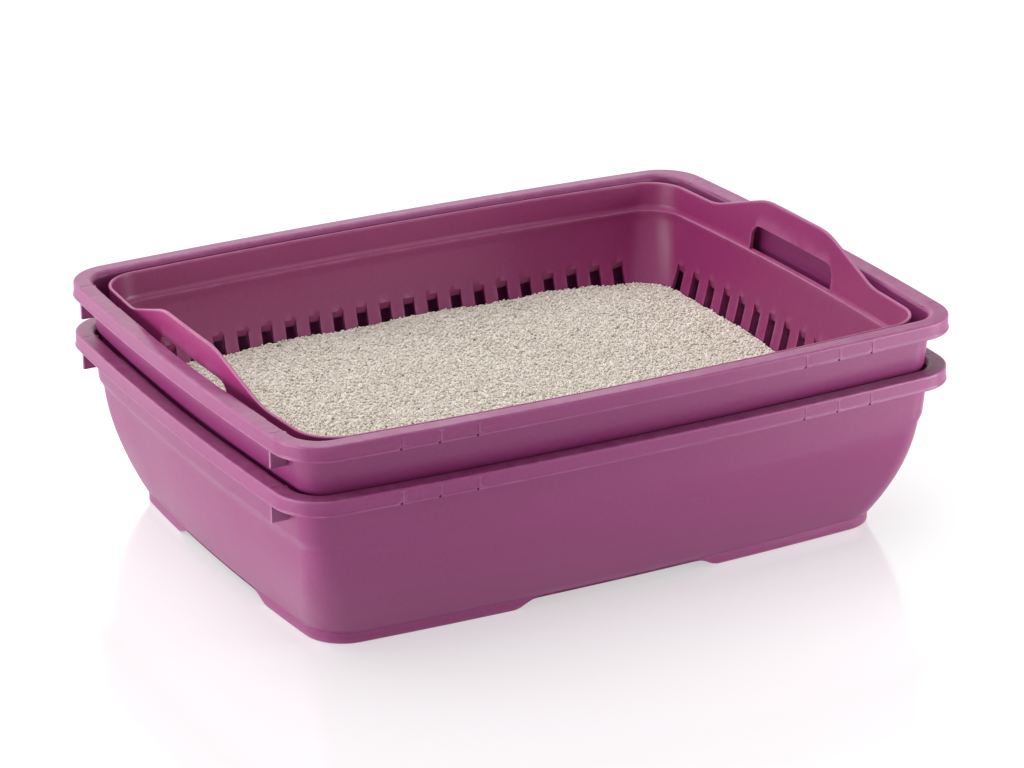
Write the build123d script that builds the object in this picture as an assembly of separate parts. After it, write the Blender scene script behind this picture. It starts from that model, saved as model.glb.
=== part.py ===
from build123d import *
import os
from math import radians, sin, sqrt

# Sifting litter tray set: two identical nesting pans, a lift-out sifting tray with two handles and a
# bed of litter.  X runs along the long sides, Y across, Z up.  The origin is on the ground under the
# middle of the lower pan.  All sizes are in millimetres.

# Driving dimensions: pan -------------------------------------------------------------------------
rim_length = 500.0          # over the skirt, across the middles of the short sides
rim_width = 382.0           # over the skirt, across the middles of the long sides
rim_corner = 32.0
long_side_bow = 7.8         # how far the middle of a long side stands out of a straight side
short_side_bow = 6.5
pan_height = 118.0
pan_wall = 2.2
pan_floor = 2.6
flange_thickness = 2.6
flange_overhang = 10.7      # from the skirt's face in to the wall's outer face, at the top
lip_radius = 4.2            # of the opening's edge
skirt_height = 10.5
skirt_thickness = 2.2
skirt_radius = 1.4
bead_height = 1.4
bead_proud = 0.5
stack_pitch = 36.0          # rise of one pan over the next
short_side_draft = 0.09     # lean of the upright band on the short sides, per millimetre of height
bend_depth = 2.6            # S-bend under the band on the short sides
bend_height = 8.0
bend_lead = 2.0             # the S-bend starts this far above the rim of the pan below
wall_belly = 3.6            # how far the lower wall bulges out of a straight slope
foot_end_inset = 35.0       # from the skirt's face in to the foot's face, on a short side
foot_side_inset = 38.0      # the same, on a long side
foot_corner = 28.0
foot_height = 8.0
foot_thickness = 3.2
foot_setback = 1.0          # step between the foot's face and the wall above it
foot_land_end = 158.0       # level stretch of a foot and its ramp, from the foot's end on a long side
foot_land_side = 104.0      # the same, on a short side
foot_ramp = 20.0            # run of the arch's sloping end
foot_round = 7.0
scoop_length = 126.0        # finger scoop in the rim of a short side
scoop_depth = 4.7           # how far it eats out from the rounded edge of the opening
scoop_slope = 15.0          # degrees
scoop_offset = 8.0          # its middle lies off the X axis, turned half a turn on the other side
scoop_reach = 56.0          # length of the scooping tool
rib_thickness = 1.2
rib_spacing = 26.0
ribs_in_group = 3
rib_setback = 0.8           # above the skirt's lower edge
rib_end_gap_a = 76.5        # last rib of the group from the rim's end, on one diagonal
rib_end_gap_b = 80.5        # and on the other
lug_thickness = 2.4
lug_drop = 12.4             # below the skirt
lug_side_gap_a = 44.0       # lug from the rim's side, on one diagonal
lug_side_gap_b = 41.0       # and on the other
lug_inset = 1.4             # from the skirt's face
lug_corner = 1.5
loft_levels = 6             # outlines that each bellied wall passes through

# Driving dimensions: sifting tray ----------------------------------------------------------------
tray_end_gap = 6.9          # between the tray's top edge and the pan's opening, on a short side
tray_side_gap = 2.6         # the same, on a long side
tray_corner = 29.0
tray_wall = 2.4
tray_floor = 2.8
tray_drop = 2.4             # top edge below the pan's rim
tray_draft = 0.105          # lean of the upright band, per millimetre of height
shoulder_drop = 24.0        # shoulder below the pan's rim
shoulder_step = 1.8
tray_end_slope = 23.2       # how far the wall falls in from top edge to floor, on a short side
tray_side_slope = 30.5      # the same, on a long side
tray_base_corner = 34.0
tray_belly = 3.2
handle_rise = 18.0          # above the pan's rim
handle_top = 78.0           # level stretch of a handle
handle_foot = 204.0         # where a handle's shoulders reach the tray's edge
handle_shoulder = 60.0      # radius of the shoulders
hand_hole_length = 103.0
hand_hole_drop = 2.8        # its top edge below the pan's rim
hand_hole_arch = 1.6
hand_hole_corner = 9.0
hand_hole_foot = 2.0
hand_hole_lift = 2.6        # its lower edge above the shoulder
slot_width = 8.8
slot_corner = 2.2
slot_tilt = 11.0            # degrees
slot_depth = 30.0
slot_top_drop = 56.0        # top of the slots' recesses below the pan's rim
slot_floor_gap = 6.0        # solid wall left above the tray's floor
long_slot_pitch = 18.7
short_slot_pitch = 19.5
slot_end_gap = 28.0         # about this much solid wall between the last slot and the end of its side
floor_slot_rows = 3
floor_rib = 7.0
floor_margin = 15.0         # solid floor between the slots and the long walls

# Driving dimensions: litter ----------------------------------------------------------------------
litter_drop = 74.0          # middle of the surface below the pan's rim
litter_tilt = 2.0           # degrees, lower towards the front

# Clearances --------------------------------------------------------------------------------------
stack_clearance = 0.3       # between the tapered long walls of two nested pans
tray_clearance = 0.3        # between the tray's floor and the pan's floor
litter_clearance = 0.4      # between the litter and the tray's walls

# Worked-out places -------------------------------------------------------------------------------
bend_top = pan_height - stack_pitch + bend_lead
bend_foot = bend_top - bend_height
long_side_draft = (pan_wall + stack_clearance) / stack_pitch
foot_length = rim_length - 2 * foot_end_inset
foot_width = rim_width - 2 * foot_side_inset
floor_top = foot_height + pan_floor
tray_base_z = floor_top + tray_clearance
tray_floor_top = tray_base_z + tray_floor
shoulder_z = pan_height - shoulder_drop
tray_top_z = pan_height - tray_drop
opening_inset = flange_overhang + pan_wall
under_flange = pan_height - flange_thickness
skirt_foot = pan_height - skirt_height
tray_length = rim_length - 2 * (opening_inset + tray_end_gap)
tray_width = rim_width - 2 * (opening_inset + tray_side_gap)
tray_base_length = tray_length - 2 * tray_end_slope
tray_base_width = tray_width - 2 * tray_side_slope
far = rim_length + rim_width  # reach of a cutting tool past the part


def bowed_outline(length, width, corner):
    """A rounded rectangle whose sides bow outwards, sized across the middles of its sides."""
    x = length / 2 - short_side_bow
    y = width / 2 - long_side_bow
    sides = [
        ThreePointArc((-x, -y), (0, -width / 2), (x, -y)),
        ThreePointArc((x, -y), (length / 2, 0), (x, y)),
        ThreePointArc((x, y), (0, width / 2), (-x, y)),
        ThreePointArc((-x, y), (-length / 2, 0), (-x, -y)),
    ]
    return fillet(make_face(sides).vertices(), corner)


def prism(length, width, corner, low, high):
    """An upright slab with the bowed outline."""
    return extrude(Pos(0, 0, low) * bowed_outline(length, width, corner), high - low)


def skin(levels, size_at, inset=0.0):
    """A solid through the outlines that size_at gives at each level, each drawn in by inset."""
    sections = []
    for z in levels:
        length, width, corner = size_at(z)
        sections.append(Pos(0, 0, z) * bowed_outline(length - 2 * inset, width - 2 * inset, corner - inset))
    return loft(sections)


def spread(low, high, count):
    """Evenly spaced levels, both ends included."""
    return [low + (high - low) * i / (count - 1) for i in range(count)]


def bellied(z, low, high, bottom, top, belly):
    """A size that runs from bottom to top between two heights, with a belly outwards."""
    u = (z - low) / (high - low)
    return bottom + (top - bottom) * u + 8 * belly * u * (1 - u)


def fall_back(bow, chord, place):
    """How far a bowed side has fallen back from its middle, at a place along it."""
    radius = ((chord / 2) ** 2 + bow**2) / (2 * bow)
    return radius - sqrt(radius**2 - place**2)


# Pan ---------------------------------------------------------------------------------------------
def band_size(z):
    """Outer outline of the upright band under the rim, whose long sides taper so that pans nest."""
    drop = pan_height - z
    end_inset = flange_overhang + short_side_draft * drop
    side_inset = flange_overhang + long_side_draft * drop
    return rim_length - 2 * end_inset, rim_width - 2 * side_inset, rim_corner - side_inset


def wall_size(z):
    """Outer outline of the wall from the foot to the rim: belly, S-bend and band."""
    length, width, corner = band_size(max(z, bend_foot))
    bend = min(max((bend_top - z) / bend_height, 0), 1)
    length -= 2 * bend_depth * bend**2 * (3 - 2 * bend)
    if z < bend_foot:
        length = bellied(z, foot_height, bend_foot, foot_length + 2 * foot_setback, length, wall_belly)
        width = bellied(z, foot_height, bend_foot, foot_width + 2 * foot_setback, width, wall_belly)
        corner = bellied(z, foot_height, bend_foot, foot_corner, corner, 0)
    return length, width, corner


def wall_skin(low, inset=0.0):
    """The wall as one solid from the low level to the rim."""
    solid = skin(spread(low, bend_foot, loft_levels), wall_size, inset)
    solid += skin(spread(bend_foot, bend_top, loft_levels), wall_size, inset)
    return solid + skin((bend_top, pan_height), wall_size, inset)


def feet():
    """A ring under the floor, cut away between the corners."""
    ring = prism(foot_length, foot_width, foot_corner, 0, foot_height)
    inside = foot_thickness * 2
    ring -= prism(foot_length - inside, foot_width - inside, foot_corner - foot_thickness, 0, foot_height)
    for gap, turn in ((foot_length - 2 * foot_land_end, 0), (foot_width - 2 * foot_land_side, 90)):
        foot = gap / 2 + foot_ramp
        arch = make_face(
            Polyline(
                (-foot - foot_ramp, -foot_ramp),
                (-foot, 0),
                (-gap / 2, foot_height),
                (gap / 2, foot_height),
                (foot, 0),
                (foot + foot_ramp, -foot_ramp),
                close=True,
            )
        )
        arch = fillet(arch.vertices().sort_by(Axis.Y)[2:], foot_round)
        ring -= Rot(0, 0, turn) * extrude(Plane.XZ * arch, far, both=True)
    return ring


def collar():
    """Flange, skirt and the bead along the skirt's lower edge, with the wall they stand out from."""
    proud = 2 * bead_proud
    inner = 2 * skirt_thickness
    ring = prism(rim_length, rim_width, rim_corner, skirt_foot, pan_height)
    ring += prism(rim_length + proud, rim_width + proud, rim_corner + bead_proud, skirt_foot, skirt_foot + bead_height)
    ring -= prism(rim_length - inner, rim_width - inner, rim_corner - skirt_thickness, skirt_foot, under_flange)
    ring += skin((bend_top, pan_height), wall_size)
    ring -= skin((bend_top, pan_height), wall_size, pan_wall)
    top = ring.faces().sort_by(Axis.Z)[-1]
    ring = fillet(top.outer_wire().edges(), skirt_radius)
    top = ring.faces().sort_by(Axis.Z)[-1]
    return fillet(top.inner_wires()[0].edges(), lip_radius)


def scoop_tool(growth):
    """Two leaning cylinders whose lower sides are the scooped faces, moved down by growth."""
    slope = radians(scoop_slope)
    sag = scoop_depth * sin(slope)
    radius = ((scoop_length / 2) ** 2 + sag**2) / (2 * sag)
    outer_edge = rim_length / 2 - opening_inset + lip_radius + scoop_depth
    tool = Pos(-outer_edge, -scoop_offset, pan_height) * Rot(0, scoop_slope, 0) * Pos(0, 0, radius)
    tool = tool * Rot(0, 90, 0) * Cylinder(radius + growth, scoop_reach)
    return tool + Rot(0, 0, 180) * tool


def lugs():
    """Gusset plates under the flange, two on each short side."""
    side = rim_width - 2 * long_side_bow
    bottom = skirt_foot - lug_drop
    plates = []
    for gap, way in ((lug_side_gap_a, -1), (lug_side_gap_b, 1)):
        place = rim_width / 2 - gap
        skirt_face = rim_length / 2 - fall_back(short_side_bow, side, place)
        outer = skirt_face - lug_inset
        inner = skirt_face - flange_overhang - pan_wall - short_side_draft * (pan_height - bottom) / 2
        plate = make_face(
            Polyline((inner, under_flange), (outer, under_flange), (outer, bottom), (inner, bottom), close=True)
        )
        plate = fillet(plate.vertices().sort_by(Axis.X)[2:].sort_by(Axis.Y)[:1], lug_corner)
        lug = extrude(Plane.XZ * plate, lug_thickness / 2, both=True)
        plates += [Rot(0, 0, turn) * Pos(0, -way * place, 0) * lug for turn in (0, 180)]
    return plates


def flange_ribs():
    """Thin plates that tie the skirt to the wall, in two groups of three on each long side."""
    depth = flange_overhang - skirt_thickness + pan_wall
    side = rim_length - 2 * short_side_bow
    plates = []
    for turn in (0, 180):
        for end_gap, way in ((rib_end_gap_a, -1), (rib_end_gap_b, 1)):
            for i in range(ribs_in_group):
                x = rim_length / 2 - end_gap - i * rib_spacing
                skirt_face = rim_width / 2 - fall_back(long_side_bow, side, x)
                y = skirt_face - skirt_thickness / 2 - depth / 2
                plate = Box(rib_thickness, depth, under_flange - skirt_foot - rib_setback)
                z = (under_flange + skirt_foot + rib_setback) / 2
                plates.append(Rot(0, 0, turn) * Pos(way * x, -y, z) * plate)
    return plates


def make_pan():
    """One pan, standing on the ground."""
    pan = collar() + wall_skin(foot_height)
    pan += feet() + lugs() + flange_ribs()
    inner = 2 * skirt_thickness
    under_rim = prism(rim_length - inner, rim_width - inner, rim_corner - skirt_thickness, skirt_foot, under_flange)
    pan += scoop_tool(pan_wall) & under_rim
    pan -= wall_skin(floor_top, pan_wall)
    return pan - scoop_tool(0)


# Sifting tray ------------------------------------------------------------------------------------
def tray_band_size(z):
    """Outer outline of the tray's upright band, which leans outwards."""
    lean = 2 * tray_draft * (z - tray_top_z)
    return tray_length + lean, tray_width + lean, tray_corner


def tray_wall_size(z):
    """Outer outline of the tray's wall below the shoulder."""
    top_length, top_width, _ = tray_band_size(shoulder_z)
    step = 2 * shoulder_step
    length = bellied(z, tray_base_z, shoulder_z, tray_base_length, top_length - step, tray_belly)
    width = bellied(z, tray_base_z, shoulder_z, tray_base_width, top_width - step, tray_belly)
    corner = bellied(z, tray_base_z, shoulder_z, tray_base_corner, tray_corner, 0)
    return length, width, corner


def edge_trim():
    """What is cut off above the tray's edge: level, with a bell-shaped handle left at each end."""
    peak = pan_height + handle_rise
    outline = Polyline(
        (-far, peak + far),
        (-far, tray_top_z),
        (-handle_foot / 2, tray_top_z),
        (-handle_top / 2, peak),
        (handle_top / 2, peak),
        (handle_foot / 2, tray_top_z),
        (far, tray_top_z),
        (far, peak + far),
        close=True,
    )
    outline = make_face(outline)
    bends = outline.vertices().filter_by(lambda v: abs(v.X) < far)
    return extrude(Plane.YZ * fillet(bends, handle_shoulder), far, both=True)


def hand_holes():
    """One tool through both short walls, standing on the shoulder."""
    half = hand_hole_length / 2
    low = shoulder_z + hand_hole_lift
    high = pan_height - hand_hole_drop
    outline = make_face(
        [
            Polyline((-half, high), (-half, low), (half, low), (half, high)),
            ThreePointArc((half, high), (0, high + hand_hole_arch), (-half, high)),
        ]
    )
    by_height = outline.vertices().sort_by(Axis.Y)
    outline = fillet(by_height[2:], hand_hole_corner)
    outline = fillet(outline.vertices().sort_by(Axis.Y)[:2], hand_hole_foot)
    return extrude(Plane.YZ * outline, far, both=True)


def even_count(chord, pitch):
    """The even number of slots that a side has room for."""
    return 2 * round((chord / 2 - slot_end_gap) / pitch)


def wall_slots():
    """Leaning bars that start as a shallow recess in the wall's inner face and run out through it."""
    top = pan_height - slot_top_drop
    height = top - tray_floor_top - slot_floor_gap
    bar = Pos(0, -slot_depth / 2, -height / 2) * Box(slot_width, slot_depth, height)
    bar = fillet(bar.edges().filter_by(Axis.Z).sort_by(Axis.Y)[2:], slot_corner)
    length, width, _ = tray_wall_size(top)
    long_row = (0, width / 2, long_side_bow, length - 2 * short_side_bow, long_slot_pitch)
    short_row = (90, length / 2, short_side_bow, width - 2 * long_side_bow, short_slot_pitch)
    bars = []
    for turn, half, bow, chord, pitch in (long_row, short_row):
        count = even_count(chord, pitch)
        for i in range(count):
            place = (i - (count - 1) / 2) * pitch
            inner_face = half - tray_wall - fall_back(bow, chord, place)
            leaning = Pos(place, inner_face, top) * Rot(slot_tilt, 0, 0) * bar
            bars += [Rot(0, 0, turn) * leaning, Rot(0, 0, turn + 180) * leaning]
    return bars


def floor_slots():
    """Rows of round-ended slots through the tray's floor, in line with the long walls' slots."""
    length, _, _ = tray_wall_size(pan_height - slot_top_drop)
    count = even_count(length - 2 * short_side_bow, long_slot_pitch)
    room = tray_base_width - 2 * floor_margin + floor_rib
    row_pitch = room / floor_slot_rows
    slot = SlotOverall(row_pitch - floor_rib, slot_width, rotation=90)
    slot = Pos(0, 0, tray_base_z) * extrude(slot, tray_floor)
    return GridLocations(long_slot_pitch, row_pitch, count, floor_slot_rows) * slot


def make_tray():
    """The sifting tray, standing on the floor of a pan that stands on the ground."""
    peak = pan_height + handle_rise
    tray = skin((shoulder_z, peak), tray_band_size) - edge_trim()
    tray += skin(spread(tray_base_z, shoulder_z, loft_levels), tray_wall_size)
    tray -= skin((shoulder_z + tray_wall, peak), tray_band_size, tray_wall)
    tray -= skin(spread(tray_floor_top, shoulder_z + tray_wall, loft_levels), tray_wall_size, tray_wall)
    tray -= hand_holes()
    tray -= floor_slots()
    return tray - wall_slots()


# Litter ------------------------------------------------------------------------------------------
def make_litter():
    """The bed of litter on the tray's floor, with a plain leaning surface."""
    surface = pan_height - litter_drop
    levels = spread(tray_floor_top, shoulder_z, loft_levels)
    bed = skin(levels, tray_wall_size, tray_wall + litter_clearance)
    above = Pos(0, 0, surface) * Rot(litter_tilt, 0, 0) * Pos(0, 0, far / 2) * Box(2 * far, 2 * far, far)
    return bed - above


# Assembly ----------------------------------------------------------------------------------------
pan = make_pan()
in_upper_pan = Pos(0, 0, stack_pitch)
pieces = {
    "lower_pan": pan,
    "upper_pan": in_upper_pan * pan,
    "sifting_tray": in_upper_pan * make_tray(),
    "litter_bed": in_upper_pan * make_litter(),
}
os.makedirs("parts", exist_ok=True)
for name, piece in pieces.items():
    export_step(piece, f"parts/{name}.step")
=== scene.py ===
from math import asin, atan2, cos, hypot, pi, radians, sin, sqrt, tan

import bmesh
import bpy
import numpy as np
from mathutils import Matrix, Vector


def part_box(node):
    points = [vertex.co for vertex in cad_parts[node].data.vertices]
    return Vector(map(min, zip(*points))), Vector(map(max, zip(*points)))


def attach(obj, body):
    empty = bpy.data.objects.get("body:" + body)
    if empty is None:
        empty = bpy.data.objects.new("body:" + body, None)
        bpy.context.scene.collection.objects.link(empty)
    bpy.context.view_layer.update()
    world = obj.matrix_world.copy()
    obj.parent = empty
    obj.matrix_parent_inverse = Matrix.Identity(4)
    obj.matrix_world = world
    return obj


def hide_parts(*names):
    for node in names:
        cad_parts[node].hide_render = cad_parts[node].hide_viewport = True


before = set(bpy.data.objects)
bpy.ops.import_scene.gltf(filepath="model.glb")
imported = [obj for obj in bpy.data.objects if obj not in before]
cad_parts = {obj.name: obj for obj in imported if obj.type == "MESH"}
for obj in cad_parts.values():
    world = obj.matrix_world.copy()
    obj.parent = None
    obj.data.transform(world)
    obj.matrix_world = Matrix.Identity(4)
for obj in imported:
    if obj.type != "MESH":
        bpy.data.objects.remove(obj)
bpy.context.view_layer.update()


# Camera.  It stands off the left front corner, a little above the rims, and looks down into the tray.
# A long lens keeps the tall sides nearly upright.
def direction(azimuth, elevation):
    """The way to a place, with azimuth from the front towards the right."""
    a, e = radians(azimuth), radians(elevation)
    return Vector((sin(a) * cos(e), -cos(a) * cos(e), sin(e)))


rim_middle = Vector((0, 0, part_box("upper_pan")[1].z))
camera_distance = 2.5237
bpy.ops.object.camera_add()
camera = bpy.context.object
camera.location = rim_middle + camera_distance * direction(-28.64, 20.06)
camera.rotation_euler = direction(-28.74, 21.42).to_track_quat("Z", "Y").to_euler()
camera.data.lens = 132.63
camera.data.sensor_width = 36.0
camera.data.clip_end = 60.0
bpy.context.scene.camera = camera


# Studio.  A glossy white light table in a white room.  Low softboxes stand on the left, behind on both
# sides and close on the right in front, so that the long front wall brightens towards the right, and a
# broad soft light hangs overhead.
def area_light(name, watts, size, azimuth, elevation, distance, aim):
    """A softbox that looks at aim, and that no camera sees."""
    place = Vector(aim) + distance * direction(azimuth, elevation)
    bpy.ops.object.light_add(type="AREA", location=place)
    light = bpy.context.object
    light.name = name
    light.rotation_euler = direction(azimuth, elevation).to_track_quat("Z", "Y").to_euler()
    light.data.shape = "RECTANGLE"
    light.data.size, light.data.size_y = size
    light.data.energy = watts
    light.visible_camera = False
    return light


area_light("left_softbox", 16, (1.3, 0.5), -85, 5, 1.3, (-0.22, 0, 0.14))
area_light("left_back_softbox", 5, (1.5, 0.6), -143, 8, 1.6, (-0.2, 0.05, 0.1))
area_light("right_front_softbox", 8.5, (0.6, 0.4), 50, 10, 0.75, (0.27, -0.2, 0.06))
area_light("back_softbox", 4, (1.6, 0.8), 165, 24, 2.2, (0, 0, 0.1))
bpy.ops.object.light_add(type="SUN", rotation=(radians(-14), radians(-16), 0))
overhead = bpy.context.object
overhead.name = "overhead_light"
overhead.data.energy = 3.1
overhead.data.angle = radians(75)

room_light = 0.22
room = bpy.data.worlds.new("white_room")
bpy.context.scene.world = room
room.use_nodes = True
room_nodes = room.node_tree.nodes
seen = room_nodes.new("ShaderNodeLightPath")
mirrored = room_nodes.new("ShaderNodeMath")
mirrored.operation = "MAXIMUM"
glow = room_nodes.new("ShaderNodeMapRange")
glow.inputs["To Min"].default_value = room_light
glow.inputs["To Max"].default_value = 1.0
room.node_tree.links.new(seen.outputs["Is Camera Ray"], mirrored.inputs[0])
room.node_tree.links.new(seen.outputs["Is Glossy Ray"], mirrored.inputs[1])
room.node_tree.links.new(mirrored.outputs["Value"], glow.inputs["Value"])
room.node_tree.links.new(glow.outputs["Result"], room_nodes["Background"].inputs["Strength"])
room_nodes["Background"].inputs["Color"].default_value = (1, 1, 1, 1)
bpy.context.scene.view_settings.view_transform = "Standard"

table_radius = 9.0
just_under = (0, 0, -0.0002)
bpy.ops.mesh.primitive_circle_add(
    vertices=96, radius=table_radius, fill_type="NGON", location=just_under
)
table_top = bpy.context.object
table_top.name = "table_top"
bpy.ops.object.mode_set(mode="EDIT")
bpy.ops.mesh.inset(thickness=0.4)
bpy.ops.mesh.select_all(action="INVERT")
bpy.ops.object.mode_set(mode="OBJECT")

glow_seen, glow_cast = 0.50, 0.20
table_paint = bpy.data.materials.new("white_table")
table_paint.use_nodes = True
paint = table_paint.node_tree.nodes["Principled BSDF"]
paint.inputs["Base Color"].default_value = (0.38, 0.38, 0.38, 1)
paint.inputs["Emission Color"].default_value = (1, 1, 1, 1)
table_light = table_paint.node_tree.nodes.new("ShaderNodeLightPath")
table_glow = table_paint.node_tree.nodes.new("ShaderNodeMapRange")
table_glow.inputs["To Min"].default_value = glow_seen
table_glow.inputs["To Max"].default_value = glow_cast
wire = table_paint.node_tree.links.new
wire(table_light.outputs["Is Diffuse Ray"], table_glow.inputs["Value"])
wire(table_glow.outputs["Result"], paint.inputs["Emission Strength"])
paint.inputs["Roughness"].default_value = 0.14
paint.inputs["IOR"].default_value = 2.1
table_top.data.materials.append(table_paint)


# Pans.  Two identical nesting pans of satin polypropylene, each injection moulded in one piece: a
# bellied bowl on four corner feet, and a flat rim with a skirt, a bead, ribs, lugs and two finger
# scoops.  The upper one drops into the lower one until their tapered long walls wedge.
mm = 0.001
pan_low, pan_high = (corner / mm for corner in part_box("lower_pan"))
bead_proud = 0.5
rim_length = pan_high.x - pan_low.x - 2 * bead_proud
rim_width = pan_high.y - pan_low.y - 2 * bead_proud
rim_z = pan_high.z
stack_pitch = (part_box("upper_pan")[1].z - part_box("lower_pan")[1].z) / mm
rim_corner = 32.0
long_side_bow = 7.8
short_side_bow = 6.5
wall = 2.2
flange = 2.6
overhang = 10.7
lip = 4.2
skirt_drop = 10.5
skirt_wall = 2.2
bend_lead = 2.0
bend_height = 8.0
bend_top = rim_z - stack_pitch + bend_lead
bend_foot = bend_top - bend_height
bend_depth = 2.6
belly = 3.6
end_draft = 0.09
stack_clearance = 0.3
side_draft = (wall + stack_clearance) / stack_pitch
foot_end_inset, foot_side_inset, foot_corner = 35, 38, 28.0
foot_size = (rim_length - 2 * foot_end_inset, rim_width - 2 * foot_side_inset, foot_corner)
foot_height = 8.0
foot_step = 1.0
foot_ramp = 20.0
arch_end_on_long_side, arch_end_on_short_side = 57.0, 49.0
pan_floor = 2.6
floor_z = foot_height + pan_floor

long_half_points = 56
corner_points = 12
short_half_points = 44


def bowed_outline(length, width, corner):
    """Points round a rounded rectangle with bowed sides, anticlockwise from the +X side's middle."""
    x, y = length / 2 - short_side_bow, width / 2 - long_side_bow
    long_radius = (x**2 + long_side_bow**2) / (2 * long_side_bow)
    short_radius = (y**2 + short_side_bow**2) / (2 * short_side_bow)
    long_centre = width / 2 - long_radius
    short_centre = length / 2 - short_radius
    apart = hypot(short_centre, long_centre)
    reach = long_radius - corner
    along = (reach**2 - (short_radius - corner) ** 2 + apart**2) / (2 * apart)
    across = sqrt(reach**2 - along**2)
    corner_x = (short_centre * along - long_centre * across) / apart
    corner_y = long_centre + (-long_centre * along - short_centre * across) / apart
    turn_short = atan2(corner_y, corner_x - short_centre)
    turn_long = atan2(corner_x, corner_y - long_centre)
    quarter = []
    for i in range(short_half_points):
        t = turn_short * i / short_half_points
        quarter.append((short_centre + short_radius * cos(t), short_radius * sin(t)))
    for i in range(corner_points):
        t = turn_short + (pi / 2 - turn_long - turn_short) * i / corner_points
        quarter.append((corner_x + corner * cos(t), corner_y + corner * sin(t)))
    for i in range(long_half_points + 1):
        t = turn_long * (1 - i / long_half_points)
        quarter.append((long_radius * sin(t), long_centre + long_radius * cos(t)))
    mirrored = [(-x, y) for x, y in reversed(quarter)][:-1]
    half = quarter[:-1] + mirrored
    return half + [(-x, -y) for x, y in half]


def level(z, size, inset=0.0):
    """One level outline, drawn in all round by inset."""
    length, width, corner = size
    return [(x, y, z) for x, y in bowed_outline(length - 2 * inset, width - 2 * inset, corner - inset)]


def rounded(z, size, radius, start, end, steps=4, rise=1):
    """Level outlines round an edge: the radius turns from start to end, in degrees from straight out."""
    outlines = []
    for i in range(steps + 1):
        a = radians(start + (end - start) * i / steps)
        outlines.append(level(z + rise * radius * (sin(a) - 1), size, radius * (1 - cos(a))))
    return outlines


def draw_wall(name, outlines):
    """Draws a closed wall from outline to outline, one extrusion each, and closes both ends."""
    bpy.ops.object.select_all(action="DESELECT")
    bpy.ops.mesh.primitive_circle_add(vertices=len(outlines[0]), radius=0.2, fill_type="NOTHING")
    piece = bpy.context.object
    piece.name = name
    bpy.ops.object.mode_set(mode="EDIT")
    mesh = bmesh.from_edit_mesh(piece.data)
    place = mesh.verts.layers.int.new("place")
    for i, vertex in enumerate(mesh.verts):
        vertex[place] = i
    bmesh.update_edit_mesh(piece.data)
    for i, outline in enumerate(outlines):
        if i:
            bpy.ops.mesh.extrude_edges_move()
        mesh = bmesh.from_edit_mesh(piece.data)
        place = mesh.verts.layers.int["place"]
        for vertex in mesh.verts:
            if vertex.select:
                vertex.co = Vector(outline[vertex[place]]) * mm
        bmesh.update_edit_mesh(piece.data)
    bpy.ops.mesh.select_all(action="SELECT")
    bpy.ops.mesh.fill_holes(sides=0)
    bpy.ops.mesh.select_all(action="SELECT")
    bpy.ops.mesh.normals_make_consistent(inside=False)
    bpy.ops.object.mode_set(mode="OBJECT")
    return piece


def combine(piece, tool, operation):
    """Cuts tool from piece, adds it or keeps what they share, and does away with tool."""
    bpy.ops.object.select_all(action="DESELECT")
    bpy.context.view_layer.objects.active = piece
    piece.select_set(True)
    bpy.ops.object.modifier_add(type="BOOLEAN")
    change = piece.modifiers[-1]
    change.operation = operation
    change.object = tool
    change.solver = "EXACT"
    bpy.ops.object.modifier_apply(modifier=change.name)
    bpy.data.objects.remove(tool)


def join(tools):
    """Makes one object of several."""
    bpy.ops.object.select_all(action="DESELECT")
    for tool in tools:
        tool.select_set(True)
    bpy.context.view_layer.objects.active = tools[0]
    bpy.ops.object.join()
    return bpy.context.object


def block(size, place, turn=0.0, tilt=0.0, round_edges=0.0):
    """A block in millimetres, with its long upright edges rounded, tilted about X and turned about Z."""
    bpy.ops.mesh.primitive_cube_add(size=1)
    made = bpy.context.object
    bpy.ops.object.mode_set(mode="EDIT")
    bpy.ops.transform.resize(value=Vector(size) * mm)
    if round_edges:
        mesh = bmesh.from_edit_mesh(made.data)
        bpy.ops.mesh.select_all(action="DESELECT")
        for edge in mesh.edges:
            a, b = (v.co for v in edge.verts)
            edge.select_set(abs(a.z - b.z) > 1e-6 and a.y < 0)
        bmesh.update_edit_mesh(made.data)
        bpy.ops.mesh.bevel(offset=round_edges * mm, segments=4, affect="EDGES")
    bpy.ops.object.mode_set(mode="OBJECT")
    move = Matrix.Translation(Vector(place) * mm)
    spin = Matrix.Rotation(radians(turn), 4, "Z")
    lean = Matrix.Rotation(radians(tilt), 4, "X")
    made.data.transform(move @ spin @ lean)
    return made


def fall_back(bow, chord, place):
    """How far a bowed side has fallen back from its middle, at a place along it."""
    radius = ((chord / 2) ** 2 + bow**2) / (2 * bow)
    return radius - sqrt(radius**2 - place**2)


def bellied(u, bottom, top, bulge):
    """A size that swells on its way from bottom to top."""
    return bottom + (top - bottom) * u + 8 * bulge * u * (1 - u)


def pan_size(z):
    """The pan's outside at a height: upright band, S-bend at the ends and belly."""
    drop = rim_z - max(z, bend_foot)
    end_inset, side_inset = overhang + end_draft * drop, overhang + side_draft * drop
    bend = min(max((bend_top - z) / (bend_top - bend_foot), 0), 1)
    end_inset += bend_depth * bend**2 * (3 - 2 * bend)
    length = rim_length - 2 * end_inset
    width = rim_width - 2 * side_inset
    corner = rim_corner - side_inset
    if z < bend_foot:
        u = (z - foot_height) / (bend_foot - foot_height)
        length = bellied(u, foot_size[0] + 2 * foot_step, length, belly)
        width = bellied(u, foot_size[1] + 2 * foot_step, width, belly)
        corner = bellied(u, foot_size[2], corner, 0)
    return length, width, corner


def evenly(start, end, count):
    """Count numbers from start to end, all the same step apart."""
    return [start + (end - start) * i / (count - 1) for i in range(count)]


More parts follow.
